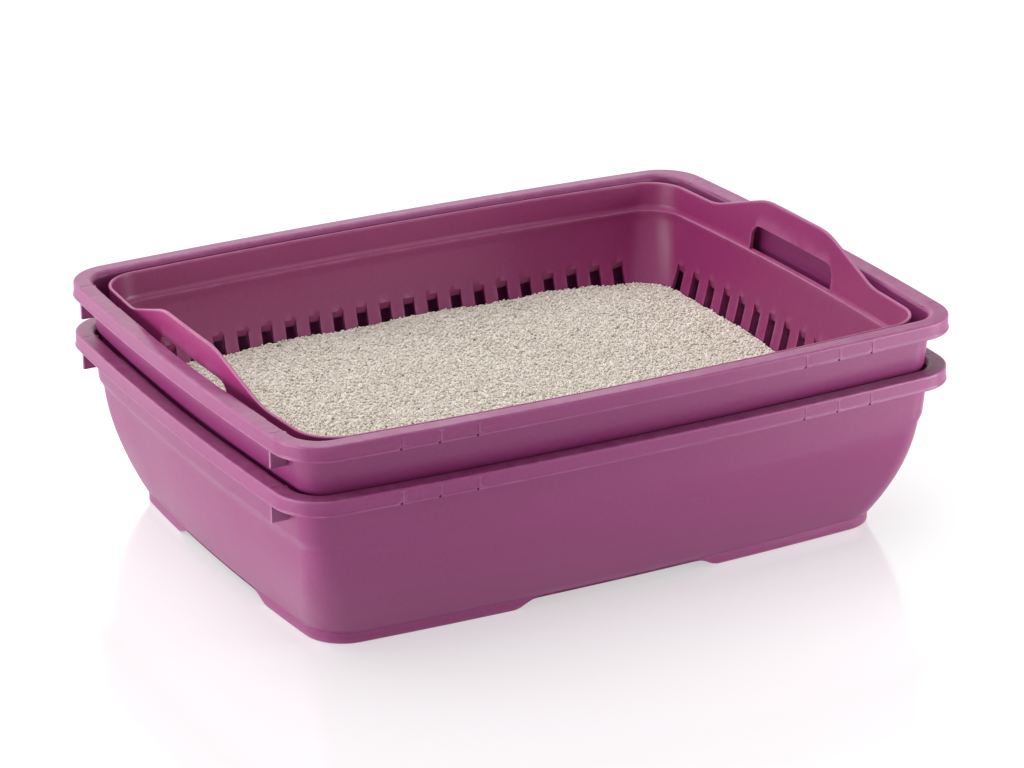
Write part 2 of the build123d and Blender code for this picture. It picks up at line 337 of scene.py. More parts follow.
def arched(outline, lowest):
    """Lifts a foot's outline between the feet, in an S-curve, to just under the floor."""
    lifted = []
    for x, y, z in outline:
        on_long_side = abs(y) > foot_size[1] / 2 - 12 and abs(x) < foot_size[0] / 2 - 20
        if on_long_side:
            out, gap = abs(x), arch_end_on_long_side
        else:
            out, gap = abs(y), arch_end_on_short_side
        share = min(max((out - gap) / foot_ramp, 0.0), 1.0)
        rise = 1 - share * share * (3 - 2 * share)
        lifted.append((x, y, z + (foot_height - 0.3 - lowest) * rise * (1 - z / foot_height)))
    return lifted


def pan_outlines():
    """The pan's outlines: foot, outer wall, skirt, rim, lip, inner wall and floor."""
    skirt = (rim_length, rim_width, rim_corner)
    bead = (rim_length + 2 * bead_proud, rim_width + 2 * bead_proud, rim_corner + bead_proud)
    inside_skirt = (rim_length - 2 * skirt_wall, rim_width - 2 * skirt_wall, rim_corner - skirt_wall)
    under = rim_z - flange
    foot_z = rim_z - skirt_drop
    outlines = [
        level(foot_height, foot_size, 12),
        level(foot_height, foot_size, 3.6),
        level(foot_height - 0.4, foot_size, 3.2),
        arched(level(0.5, foot_size, 3.2), 0.5),
        arched(level(0.0, foot_size, 2.7), 0),
        arched(level(0.0, foot_size, 0.8), 0),
        arched(level(0.25, foot_size, 0.2), 0.25),
        arched(level(0.8, foot_size), 0.8),
        arched(level(4.0, foot_size), 4.0),
        level(foot_height - 0.35, foot_size),
        level(foot_height - 0.2, foot_size, -0.3),
        level(foot_height - 0.1, foot_size, -0.75),
    ]
    outlines += [level(z, pan_size(z)) for z in evenly(foot_height + 0.3, bend_foot, 16)]
    outlines += [level(z, pan_size(z)) for z in evenly(bend_foot + 1, bend_top, 8)]
    outlines += [level(z, pan_size(z)) for z in evenly(bend_top + 2, under - 1.2, 4)]
    outlines += [
        level(under - 0.35, pan_size(under), -0.35),
        level(under, pan_size(under), -1.2),
        level(under, inside_skirt, 1.0),
        level(under - 0.3, inside_skirt, 0.3),
        level(under - 1.0, inside_skirt),
        level(foot_z + 0.4, inside_skirt),
        level(foot_z, inside_skirt, -0.4),
        level(foot_z, bead, 0.5),
        level(foot_z + 0.15, bead, 0.15),
        level(foot_z + 0.5, bead),
        level(foot_z + 1.0, bead),
        level(foot_z + 1.3, bead, 0.15),
        level(foot_z + 1.4, skirt, -0.1),
        level(foot_z + 1.6, skirt),
        level(foot_z + 2.4, skirt),
        level(rim_z - 2.0, skirt),
    ]
    outlines += rounded(rim_z, skirt, 1.4, 0, 90, 5)
    flat_end = overhang + wall - lip
    outlines += [level(rim_z, skirt, 1.9), level(rim_z, skirt, flat_end - 0.6)]
    for t in evenly(0, 90, 9):
        z = rim_z - lip * (1 - cos(radians(t)))
        outlines.append(level(z, skirt, flat_end + lip * sin(radians(t))))
    outlines += [level(z, pan_size(z), wall) for z in evenly(rim_z - lip - 1, bend_top, 5)]
    outlines += [level(z, pan_size(z), wall) for z in evenly(bend_top - 1, bend_foot, 8)]
    outlines += [level(z, pan_size(z), wall) for z in evenly(bend_foot - 2, floor_z + 4.5, 12)]
    for t in evenly(15, 90, 6):
        z = floor_z + 4 * (1 - sin(radians(t)))
        outlines.append(level(z, pan_size(z), wall + 4 * (1 - cos(radians(t)))))
    outlines.append(level(floor_z, pan_size(floor_z), wall + 8))
    return outlines


def scoop_tool(growth):
    """Two leaning drums whose lower sides are the finger scoops' faces, moved down by growth."""
    slope, length, depth, off_middle = 15.0, 126.0, 4.7, 8
    reach, cap = 56, 40
    sag = depth * sin(radians(slope))
    radius = ((length / 2) ** 2 + sag**2) / (2 * sag)
    outer_edge = rim_length / 2 - overhang - wall + lip + depth
    bpy.ops.mesh.primitive_cylinder_add(
        vertices=3000, radius=(radius + growth) * mm, depth=reach * mm
    )
    drum = bpy.context.object
    bpy.ops.object.mode_set(mode="EDIT")
    middle = (radius + growth - cap) * mm
    bpy.ops.mesh.bisect(
        plane_co=(middle, 0, 0), plane_no=(1, 0, 0), use_fill=True, clear_inner=True
    )
    bpy.ops.object.mode_set(mode="OBJECT")
    turn = Matrix.Rotation(radians(slope), 4, "Y")
    quarter_turn = Matrix.Rotation(pi / 2, 4, "Y")
    place = Matrix.Translation(Vector((-outer_edge, -off_middle, rim_z)) * mm)
    drum.data.transform(place @ turn @ Matrix.Translation((0, 0, radius * mm)) @ quarter_turn)
    bpy.ops.object.duplicate()
    other = bpy.context.object
    other.data.transform(Matrix.Rotation(pi, 4, "Z"))
    return join([drum, other])


def under_rim_ring():
    """The room between skirt and band, let 0.6 mm into the walls about it."""
    skirt = (rim_length, rim_width, rim_corner)
    low, high = rim_z - skirt_drop + 0.3, rim_z - 1.0
    outlines = [
        level(low, skirt, 1.4),
        level(high, skirt, 1.4),
        level(high, pan_size(high), 1.0),
        level(low, pan_size(low), 1.0),
    ]
    ring = draw_wall("under_rim", outlines)
    bpy.ops.object.mode_set(mode="EDIT")
    bpy.ops.mesh.select_all(action="DESELECT")
    mesh = bmesh.from_edit_mesh(ring.data)
    for face in mesh.faces:
        face.select_set(len(face.verts) > 4)
    bmesh.update_edit_mesh(ring.data)
    bpy.ops.mesh.delete(type="ONLY_FACE")
    bpy.ops.mesh.select_all(action="DESELECT")
    bpy.ops.mesh.select_non_manifold()
    bpy.ops.mesh.bridge_edge_loops()
    bpy.ops.mesh.select_all(action="SELECT")
    bpy.ops.mesh.normals_make_consistent(inside=False)
    bpy.ops.object.mode_set(mode="OBJECT")
    return ring


rib_ends = ((76.5, -1), (80.5, 1))
rib_spacing = 26
rib_thickness = 1.2
ribs_in_group = 3
rib_marks = ((1.1, 1.6, 8.2, 0.22), (2.4, 7.6, 8.6, 0.18), (4.6, 8.3, 9.0, 0.14))
nick_shift = -1.5
nick_size = (1.4, 1.3, 1.3)
lug_places = (rim_width / 2 - 44, 41 - rim_width / 2)
lug_drop = 12.4
lug_thickness = 2.4
lug_inset = 1.4
sink_line_size = (7.0, 0.7, 1.0)


def on_skirt(way, end_gap, i, turn, shift=0.0):
    """Place on a long side's skirt at a rib, the turn that faces it, and the half turn it needs."""
    side = rim_length - 2 * short_side_bow
    radius = ((side / 2) ** 2 + long_side_bow**2) / (2 * long_side_bow)
    x = way * (rim_length / 2 - end_gap - rib_spacing * i) + shift
    y = rim_width / 2 - fall_back(long_side_bow, side, x)
    half_turn = Matrix.Rotation(radians(turn), 3, "Z")
    return half_turn @ Vector((x, -y, 0)), turn + (asin(x / radius) * 180 / pi), half_turn


def skirt_end_face(place_y):
    """Where the skirt of a short side stands, at a place along it."""
    return rim_length / 2 - fall_back(short_side_bow, rim_width - 2 * long_side_bow, place_y)


def pan_plates():
    """Lugs, the ribs behind the skirt, and the raised lines where each rib shows through the skirt."""
    plates = []
    foot_z = rim_z - skirt_drop
    top = rim_z - 1.0
    bottom = foot_z - lug_drop
    for turn in (0, 180):
        for place_y in lug_places:
            face = skirt_end_face(place_y)
            inner, outer = face - overhang - 2.0, face - lug_inset
            middle = Vector(((inner + outer) / 2, place_y, (top + bottom) / 2))
            place = Matrix.Rotation(radians(turn), 3, "Z") @ middle
            plates.append(block((outer - inner, lug_thickness, top - bottom), place))
        for end_gap, way in rib_ends:
            for i in range(ribs_in_group):
                place, facing, half_turn = on_skirt(way, end_gap, i, turn)
                inward = half_turn @ Vector((0, 6.8, foot_z + 4.8))
                plates.append(block((rib_thickness, 11.2, 8.0), place + inward, facing))
                for width, low, high, proud in rib_marks:
                    z = foot_z + (low + high) / 2
                    out = half_turn @ Vector((0, 0.5 - proud, z))
                    plates.append(block((width, 1.0, high - low), place + out, facing))
    return merge(plates)


def pan_nicks():
    """Nicks in the bead beside each rib line, and faint sink lines across the rim above the lugs."""
    nicks = []
    foot_z = rim_z - skirt_drop
    for turn in (0, 180):
        for end_gap, way in rib_ends:
            for i in range(ribs_in_group):
                place, facing, half_turn = on_skirt(way, end_gap, i, turn, nick_shift)
                deep = half_turn @ Vector((0, -0.1, foot_z + 0.8))
                nicks.append(block(nick_size, place + deep, facing))
        for place_y in lug_places:
            over_lug = Vector((skirt_end_face(place_y) - 5, place_y, rim_z + 0.38))
            place = Matrix.Rotation(radians(turn), 3, "Z") @ over_lug
            nicks.append(block(sink_line_size, place))
    return join(nicks)


def merge(tools):
    """One closed solid of several blocks that reach into each other."""
    merged = join(tools)
    bpy.ops.object.select_all(action="DESELECT")
    merged.select_set(True)
    bpy.ops.object.modifier_add(type="BOOLEAN")
    bpy.ops.mesh.primitive_cube_add(size=0.001, location=(0, 0, -1))
    away = bpy.context.object
    bpy.context.view_layer.objects.active = merged
    change = merged.modifiers[-1]
    change.operation = "DIFFERENCE"
    change.object = away
    change.use_self = True
    bpy.ops.object.modifier_apply(modifier=change.name)
    bpy.data.objects.remove(away)
    return merged


def finish_surface(piece, angle=32):
    """Smooth over gentle bends and crisp over corners."""
    bpy.ops.object.select_all(action="DESELECT")
    piece.select_set(True)
    bpy.context.view_layer.objects.active = piece
    bpy.ops.object.shade_smooth_by_angle(angle=radians(angle))


def make_pan(name):
    """One pan: the drawn wall, scooped, with its webs, plates and nicks."""
    pan = draw_wall(name, pan_outlines())
    combine(pan, scoop_tool(0), "DIFFERENCE")
    web = scoop_tool(wall)
    combine(web, under_rim_ring(), "INTERSECT")
    combine(web, scoop_tool(0.03), "DIFFERENCE")
    plates = pan_plates()
    combine(plates, web, "UNION")
    combine(pan, plates, "UNION")
    combine(pan, pan_nicks(), "DIFFERENCE")
    finish_surface(pan)
    return pan


lower_pan = make_pan("lower_pan_moulding")
bpy.ops.object.duplicate()
upper_pan = bpy.context.object
upper_pan.name = "upper_pan_moulding"
upper_pan.data.transform(Matrix.Translation((0, 0, stack_pitch * mm)))
for moulding, node in ((lower_pan, "lower_pan"), (upper_pan, "upper_pan")):
    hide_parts(node)
    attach(moulding, node)


def moulded_skin():
    """Node group for moulded plastic: slow colour drift, fine grain, rubbed edges, scuffs, and dust with
    painted sheen on upward faces.
    """
    group = bpy.data.node_groups.new("moulded_skin", "ShaderNodeTree")
    face = group.interface
    for name in ("Colour", "Rubbed"):
        face.new_socket(name=name, in_out="INPUT", socket_type="NodeSocketColor")
    for name in ("Roughness", "Edge wear", "Scuffs", "Dust and sheen"):
        face.new_socket(name=name, in_out="INPUT", socket_type="NodeSocketFloat")
    face.new_socket(name="Colour", in_out="OUTPUT", socket_type="NodeSocketColor")
    for name in ("Roughness", "Height"):
        face.new_socket(name=name, in_out="OUTPUT", socket_type="NodeSocketFloat")
    nodes, wire = group.nodes, group.links.new
    given = nodes.new("NodeGroupInput")
    result = nodes.new("NodeGroupOutput")
    where = nodes.new("ShaderNodeTexCoord")
    surface = nodes.new("ShaderNodeNewGeometry")

    def noise(scale, detail, stretch=(1, 1, 1)):
        mapping = nodes.new("ShaderNodeMapping")
        mapping.inputs["Scale"].default_value = stretch
        wire(where.outputs["Object"], mapping.inputs["Vector"])
        texture = nodes.new("ShaderNodeTexNoise")
        texture.inputs["Scale"].default_value = scale
        texture.inputs["Detail"].default_value = detail
        wire(mapping.outputs["Vector"], texture.inputs["Vector"])
        return texture.outputs["Fac"]

    def spread_out(value, low, high, bottom=0.0, top=1.0):
        reach = nodes.new("ShaderNodeMapRange")
        for name, number in zip(("From Min", "From Max", "To Min", "To Max"), (low, high, bottom, top)):
            reach.inputs[name].default_value = number
        wire(value, reach.inputs["Value"])
        return reach.outputs["Result"]

    def maths(operation, a, b):
        node = nodes.new("ShaderNodeMath")
        node.operation = operation
        for socket, value in zip(node.inputs, (a, b)):
            if isinstance(value, (int, float)):
                socket.default_value = value
            else:
                wire(value, socket)
        return node.outputs["Value"]

    def mixed(blend, share, a, b):
        node = nodes.new("ShaderNodeMix")
        node.data_type = "RGBA"
        node.blend_type = blend
        wire(share, node.inputs["Factor"])
        wire(a, node.inputs["A"])
        if isinstance(b, tuple):
            node.inputs["B"].default_value = b
        else:
            wire(b, node.inputs["B"])
        return node.outputs["Result"]

    deep_shade = (0.55, 0.35, 0.55, 1)
    # Pale clay colour for upward faces: dust, and also a painted sheen that greys and lightens the rim
    # tops.
    clay_dust_and_sheen = (0.62, 0.57, 0.50, 1)
    drift = spread_out(noise(5.0, 3.0, (1, 1, 2.5)), 0.35, 0.65, 0.0, 0.10)
    speckle = spread_out(noise(420.0, 2.0), 0.3, 0.7, 0.0, 0.06)
    edges = spread_out(surface.outputs["Pointiness"], 0.505, 0.56)
    edges = maths("MULTIPLY", edges, given.outputs["Edge wear"])
    edges = maths("MULTIPLY", edges, spread_out(noise(60.0, 4.0), 0.35, 0.6, 0.35, 1.0))
    lines = spread_out(noise(30.0, 6.0, (1.0, 1.0, 22.0)), 0.66, 0.72)
    patches = spread_out(noise(9.0, 2.0), 0.5, 0.62)
    scuffs = maths("MULTIPLY", maths("MULTIPLY", lines, patches), given.outputs["Scuffs"])
    upward = nodes.new("ShaderNodeSeparateXYZ")
    wire(surface.outputs["Normal"], upward.inputs["Vector"])
    # Faces that look upward are mixed towards the pale clay colour: partly dust, partly painted sheen.
    dust_and_sheen = spread_out(upward.outputs["Z"], 0.5, 0.95)
    dust_and_sheen = maths("MULTIPLY", dust_and_sheen, spread_out(noise(120.0, 5.0), 0.4, 0.75))
    dust_and_sheen = maths("MULTIPLY", dust_and_sheen, given.outputs["Dust and sheen"])
    colour = mixed("MULTIPLY", drift, given.outputs["Colour"], deep_shade)
    colour = mixed("MIX", speckle, colour, given.outputs["Rubbed"])
    colour = mixed("MIX", maths("ADD", edges, scuffs), colour, given.outputs["Rubbed"])
    colour = mixed("MIX", dust_and_sheen, colour, clay_dust_and_sheen)
    rough = maths("ADD", given.outputs["Roughness"], spread_out(noise(14.0, 4.0), 0.3, 0.7, -0.04, 0.05))
    rough = maths("ADD", rough, maths("MULTIPLY", scuffs, 0.3))
    rough = maths("ADD", rough, maths("MULTIPLY", dust_and_sheen, 0.4))
    height = maths("ADD", noise(1600.0, 2.0), maths("MULTIPLY", noise(26.0, 2.0), 2.2))
    height = maths("SUBTRACT", height, maths("MULTIPLY", scuffs, 0.6))
    for name, value in (("Colour", colour), ("Roughness", rough), ("Height", height)):
        wire(value, result.inputs[name])
    return group


def satin_plastic(name, colour, rubbed, roughness, edge_wear, scuffs, dust_and_sheen):
    """A satin polypropylene made of the moulded skin and a plain shader."""
    plastic = bpy.data.materials.new(name)
    plastic.use_nodes = True
    nodes, wire = plastic.node_tree.nodes, plastic.node_tree.links.new
    shader = nodes["Principled BSDF"]
    skin = nodes.new("ShaderNodeGroup")
    skin.node_tree = skin_group
    skin.inputs["Colour"].default_value = (*colour, 1)
    skin.inputs["Rubbed"].default_value = (*rubbed, 1)
    skin.inputs["Roughness"].default_value = roughness
    skin.inputs["Edge wear"].default_value = edge_wear
    skin.inputs["Scuffs"].default_value = scuffs
    skin.inputs["Dust and sheen"].default_value = dust_and_sheen
    bump = nodes.new("ShaderNodeBump")
    bump.inputs["Strength"].default_value = 0.10
    bump.inputs["Distance"].default_value = 0.0004
    wire(skin.outputs["Colour"], shader.inputs["Base Color"])
    wire(skin.outputs["Roughness"], shader.inputs["Roughness"])
    wire(skin.outputs["Height"], bump.inputs["Height"])
    wire(bump.outputs["Normal"], shader.inputs["Normal"])
    shader.inputs["IOR"].default_value = 1.49
    return plastic


skin_group = moulded_skin()
magenta = satin_plastic(
    "magenta_polypropylene",
    colour=(0.218, 0.024, 0.124),
    rubbed=(0.38, 0.12, 0.28),
    roughness=0.36,
    edge_wear=0.5,
    scuffs=0.16,
    # Dust on upward faces, which also paints a sheen on the rim tops.
    dust_and_sheen=0.08,
)
for moulding in (lower_pan, upper_pan):
    moulding.data.materials.clear()
    moulding.data.materials.append(magenta)


# Sifting tray.  One injection moulding of the same plastic, thinner at its edge: it stands inside the
# upper pan on its floor, has rows of slots low in its walls and in its floor, and each end wall rises
# into a handle with a hand hole under it.
tray_low, tray_high = (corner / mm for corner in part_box("sifting_tray"))
tray_base = tray_low.z
tray_peak = tray_high.z
pan_top = rim_z + stack_pitch
tray_edge = pan_top - 2.4
tray_shoulder = pan_top - 24.0
tray_wall = 2.4
tray_floor = tray_base + 2.8
tray_draft = 0.105
tray_belly = 3.2
shoulder_step = 1.8
tray_size = (rim_length - 39.6, tray_high.y - tray_low.y, 29.0)
tray_foot_size = (tray_size[0] - 46.4, tray_size[1] - 61.0, 34.0)
handle_foot, handle_top = 102.0, 39.0
hand_hole_length = 103
hand_hole_lift, hand_hole_drop = 2.6, 2.8
slot_width, slot_depth, slot_corner, slot_tilt = 8.8, 30, 2.2, 11
slot_top_drop, slot_floor_gap = 56, 6
long_slot_pitch, long_slot_count = 18.7, 20
short_slot_pitch, short_slot_count = 19.5, 14
floor_margin, floor_rib = 15, 7
floor_slot_round = 4.3


def tray_band(z):
    """The tray's outside at a height above its shoulder."""
    lean = 2 * tray_draft * (z - tray_edge)
    return tray_size[0] + lean, tray_size[1] + lean, tray_size[2]


def tray_side(z):
    """The tray's outside at a height below its shoulder."""
    u = (z - tray_base) / (tray_shoulder - tray_base)
    top_length, top_width, _ = tray_band(tray_shoulder)
    length = bellied(u, tray_foot_size[0], top_length - 2 * shoulder_step, tray_belly)
    width = bellied(u, tray_foot_size[1], top_width - 2 * shoulder_step, tray_belly)
    return length, width, bellied(u, tray_foot_size[2], tray_size[2], 0)


def soft_ramp(t, bend=9.4):
    """A ramp that bends smoothly away from nought."""
    if abs(t) < bend:
        return (t + bend) ** 2 / (4 * bend)
    return max(t, 0)


def edge_height(x, y):
    """The tray's top edge: level, with a bell-shaped handle at each end."""
    if abs(x) < tray_size[0] / 2 - 30:
        return tray_edge
    climb = (tray_peak - tray_edge) / (handle_foot - handle_top)
    return tray_edge + climb * (soft_ramp(handle_foot - abs(y)) - soft_ramp(handle_top - abs(y)))


def tray_level(share, inset, drop=0.0):
    """A level outline of the upright band, share of the way from shoulder to edge, less drop."""
    low = level(tray_shoulder, tray_band(tray_shoulder), inset)
    high = level(tray_peak, tray_band(tray_peak), inset)
    outline = []
    for (ax, ay, az), (bx, by, bz) in zip(low, high):
        z = az + (edge_height(bx, by) - az) * share - drop
        t = (z - az) / (bz - az)
        outline.append((ax + (bx - ax) * t, ay + (by - ay) * t, z))
    return outline


def tray_outlines():
    """The tray's outlines: base, outer wall, shoulder, round edge, inner wall and floor."""
    outlines = [level(tray_base, tray_foot_size, 10)]
    for t in evenly(0, 90, 6):
        z = tray_base + 2.5 * (1 - cos(radians(t)))
        outlines.append(level(z, tray_side(z), 2.5 * (1 - sin(radians(t)))))
    outlines += [level(z, tray_side(z)) for z in evenly(tray_base + 6, tray_shoulder - 1.2, 12)]
    outlines += [
        level(tray_shoulder - 0.4, tray_side(tray_shoulder), -0.25),
        level(tray_shoulder, tray_side(tray_shoulder), -1.0),
        level(tray_shoulder + 0.25, tray_side(tray_shoulder), -1.65),
        level(tray_shoulder + 0.9, tray_band(tray_shoulder)),
    ]
    outlines += [tray_level(share, 0) for share in (0.12, 0.3, 0.5, 0.7, 0.85)]
    half = tray_wall / 2
    outlines.append(tray_level(1, 0, 2.2))
    for t in evenly(0, 180, 9):
        inset = half * (1 - cos(radians(t)))
        outlines.append(tray_level(1, inset, half * (1 - sin(radians(t)))))
    outlines.append(tray_level(1, tray_wall, 2.2))
    outlines += [tray_level(share, tray_wall) for share in (0.85, 0.7, 0.5, 0.3, 0.2)]
    inner_shoulder = tray_shoulder + tray_wall
    outlines += [
        level(inner_shoulder + 0.9, tray_band(tray_shoulder), tray_wall),
        level(inner_shoulder + 0.25, tray_band(tray_shoulder), tray_wall + 0.3),
        level(inner_shoulder, tray_side(tray_shoulder), tray_wall - 0.6),
        level(inner_shoulder - 0.4, tray_side(tray_shoulder), tray_wall + 0.15),
    ]
    outlines += [level(z, tray_side(z), tray_wall) for z in evenly(tray_shoulder, tray_floor + 6.5, 14)]
    for t in evenly(15, 90, 6):
        z = tray_floor + 6 * (1 - sin(radians(t)))
        outlines.append(level(z, tray_side(z), tray_wall + 6 * (1 - cos(radians(t)))))
    outlines.append(level(tray_floor, tray_side(tray_floor), tray_wall + 10))
    return outlines


def hand_hole_tool():
    """A long rounded bar through both end walls."""
    low, high = tray_shoulder + hand_hole_lift, pan_top - hand_hole_drop
    middle = (high + low) / 2 * mm
    half_length = hand_hole_length / 2 * mm
    bpy.ops.mesh.primitive_cube_add(size=1)
    bar = bpy.context.object
    bpy.ops.object.mode_set(mode="EDIT")
    bpy.ops.transform.resize(value=(0.6, hand_hole_length * mm, (high - low) * mm))
    bpy.ops.transform.translate(value=(0, 0, middle))
    for upper, radius in ((True, 9), (False, 2)):
        bpy.ops.mesh.select_all(action="DESELECT")
        mesh = bmesh.from_edit_mesh(bar.data)
        for edge in mesh.edges:
            a, b = (v.co for v in edge.verts)
            lengthways = abs(a.x - b.x) > 0.5
            at_end = abs(abs(a.y) - half_length) < 1e-4
            edge.select_set(lengthways and at_end and (a.z > middle) == upper)
        bmesh.update_edit_mesh(bar.data)
        bpy.ops.mesh.bevel(offset=radius * mm, segments=8, affect="EDGES")
    bpy.ops.object.mode_set(mode="OBJECT")
    return bar


def wall_slot_tool():
    """Leaning bars that start in the walls' inner faces and run out through them."""
    top = pan_top - slot_top_drop
    height = top - tray_floor - slot_floor_gap
    length, width, _ = tray_side(top)
    long_row = (0, width / 2, long_side_bow, length - 2 * short_side_bow)
    short_row = (90, length / 2, short_side_bow, width - 2 * long_side_bow)
    rows = (
        (*long_row, long_slot_pitch, long_slot_count),
        (*short_row, short_slot_pitch, short_slot_count),
    )
    bars = []
    for turn, half, bow, chord, pitch, count in rows:
        for i in range(count):
            place = (i - (count - 1) / 2) * pitch
            inner_face = half - tray_wall - fall_back(bow, chord, place)
            for side in (turn, turn + 180):
                bar = block((slot_width, slot_depth, height), (0, 0, 0), round_edges=slot_corner)
                hung = Vector((0, -slot_depth / 2, -height / 2))
                bar.data.transform(Matrix.Translation(hung * mm))
                lean = Matrix.Rotation(radians(slot_tilt), 4, "X")
                move = Matrix.Translation(Vector((place, inner_face, top)) * mm)
                bar.data.transform(Matrix.Rotation(radians(side), 4, "Z") @ move @ lean)
                bars.append(bar)
    return join(bars)


def floor_slot_tool():
    """Three rows of round-ended bars through the floor."""
    room = (tray_foot_size[1] - 2 * floor_margin + floor_rib) / 3
    bars = []
    for row in (-1, 0, 1):
        for i in range(long_slot_count):
            bar = block((slot_width, room - floor_rib, 12), (0, 0, 0))
            bpy.ops.object.select_all(action="DESELECT")
            bar.select_set(True)
            bpy.context.view_layer.objects.active = bar
            bpy.ops.object.mode_set(mode="EDIT")
            bpy.ops.mesh.select_mode(type="EDGE")
            bpy.ops.mesh.select_all(action="DESELECT")
            mesh = bmesh.from_edit_mesh(bar.data)
            for edge in mesh.edges:
                a, b = (v.co for v in edge.verts)
                edge.select_set(abs(a.z - b.z) > 1e-4)
            bmesh.update_edit_mesh(bar.data)
            bpy.ops.mesh.bevel(offset=floor_slot_round * mm, segments=6, affect="EDGES")
            bpy.ops.mesh.select_mode(type="VERT")
            bpy.ops.object.mode_set(mode="OBJECT")
            along = (i - (long_slot_count - 1) / 2) * long_slot_pitch
            place = Vector((along, row * room, tray_base))
            bar.data.transform(Matrix.Translation(place * mm))
            bars.append(bar)
    return join(bars)


sifting_tray = draw_wall("sifting_tray_moulding", tray_outlines())
combine(sifting_tray, hand_hole_tool(), "DIFFERENCE")
combine(sifting_tray, wall_slot_tool(), "DIFFERENCE")
combine(sifting_tray, floor_slot_tool(), "DIFFERENCE")
finish_surface(sifting_tray)
# The tray is the pans' plastic, but its colour is painted lighter than theirs to make up for the shade
# on its inner walls.
lightened_tray_magenta = satin_plastic(
    "tray_polypropylene_painted_lighter",
    colour=(0.260, 0.025, 0.126),
    rubbed=(0.44, 0.14, 0.29),
    roughness=0.33,
    edge_wear=0.6,
    scuffs=0.12,
    # Dust on upward faces, which also paints a sheen on the top edge.
    dust_and_sheen=0.04,
)
sifting_tray.data.materials.clear()
sifting_tray.data.materials.append(lightened_tray_magenta)
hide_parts("sifting_tray")
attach(sifting_tray, "sifting_tray")


# Litter.  A bed of loose off-white clay granules a millimetre or two across, heaped a little towards
# the back, poured into the tray: one body with an uneven top, under some tens of thousands of grains.
random = np.random.default_rng(7)
litter_level = pan_top - 74.0
litter_tilt = 2
litter_gap = 0.5
inner_round = 6
grain_radius = 0.5
grain_count = 63000
grains_a_piece = 9000
grain_shapes = 6
grain_size_log, grain_size_spread = 0.50, 0.20
grain_sunk, grain_proud = -0.55, 0.35


def litter_height(x, y):
    """Height of the litter's surface, in millimetres."""
    z = litter_level + y * tan(radians(litter_tilt))
    right = np.clip((x - 100) / 110, 0, 1)
    left = np.clip((-x - 150) / 60, 0, 1)
    z = z - right * right * (3 - 2 * right) * (4.5 - 0.012 * y) - 1.5 * left
    z = z + 1.1 * np.sin(x / 41 + 1.3) * np.cos(y / 33) + 0.7 * np.sin(x / 17 + y / 23)
    return z + 0.35 * np.sin(x / 6.1 + 2.0 * np.sin(y / 9.0)) * np.cos(y / 5.3)


def litter_rim(inset):
    """The outline along the tray's inner face at the litter's own height."""
    low_z, high_z = litter_level - 15, litter_level + 15
    low = level(low_z, tray_side(low_z), inset)
    high = level(high_z, tray_side(high_z), inset)
    outline = []
    for (ax, ay, az), (bx, by, bz) in zip(low, high):
        z = float(litter_height((ax + bx) / 2, (ay + by) / 2))
        t = (z - az) / (bz - az)
        outline.append((ax + (bx - ax) * t, ay + (by - ay) * t, z))
    return outline


def bed_outlines():
    """The bed's outlines: flat base, rounded foot, side, and rings over its top to the middle."""
    gap = tray_wall + litter_gap
    base = tray_floor + 0.4
    outlines = [level(base, tray_side(tray_floor), gap + 20)]
    for t in evenly(90, 15, 5):
        z = base + inner_round * (1 - sin(radians(t)))
        outlines.append(level(z, tray_side(z), gap + inner_round * (1 - cos(radians(t)))))
    outlines += [level(z, tray_side(z), gap) for z in evenly(tray_floor + 7, litter_level - 12, 5)]
    rim = litter_rim(gap)
    outlines.append([(x, y, z - 1.5) for x, y, z in rim])
    for shrink in evenly(1.0, 0.02, 60):
        ring = [(x * shrink, y * shrink) for x, y, _ in rim]
        outlines.append([(x, y, float(litter_height(x, y)) - 0.6) for x, y in ring])
    return outlines


def inside(points, outline):
    """Which points lie within a closed outline."""
    x, y = points[:, 0], points[:, 1]
    hit = np.zeros(len(points), bool)
    ax, ay = outline[-1]
    for bx, by in outline:
        crosses = (ay > y) != (by > y)
        if ay != by:
            hit ^= crosses & (x < (bx - ax) * (y - ay) / (by - ay) + ax)
        ax, ay = bx, by
    return hit


def grain_shape(seed):
    """One crumb of litter: a small ball of twenty faces, pulled out of round."""
    bpy.ops.object.select_all(action="DESELECT")
    bpy.ops.mesh.primitive_ico_sphere_add(subdivisions=1, radius=grain_radius * mm)
    grain = bpy.context.object
    bpy.ops.object.mode_set(mode="EDIT")
    bpy.ops.transform.vertex_random(offset=0.13 * mm, seed=seed)
    bpy.ops.transform.resize(value=(1.12, 1.0, 0.88))
    bpy.ops.object.mode_set(mode="OBJECT")
    corners = np.array([v.co for v in grain.data.vertices])
    faces = np.array([list(p.vertices) for p in grain.data.polygons])
    bpy.data.objects.remove(grain)
    return corners, faces


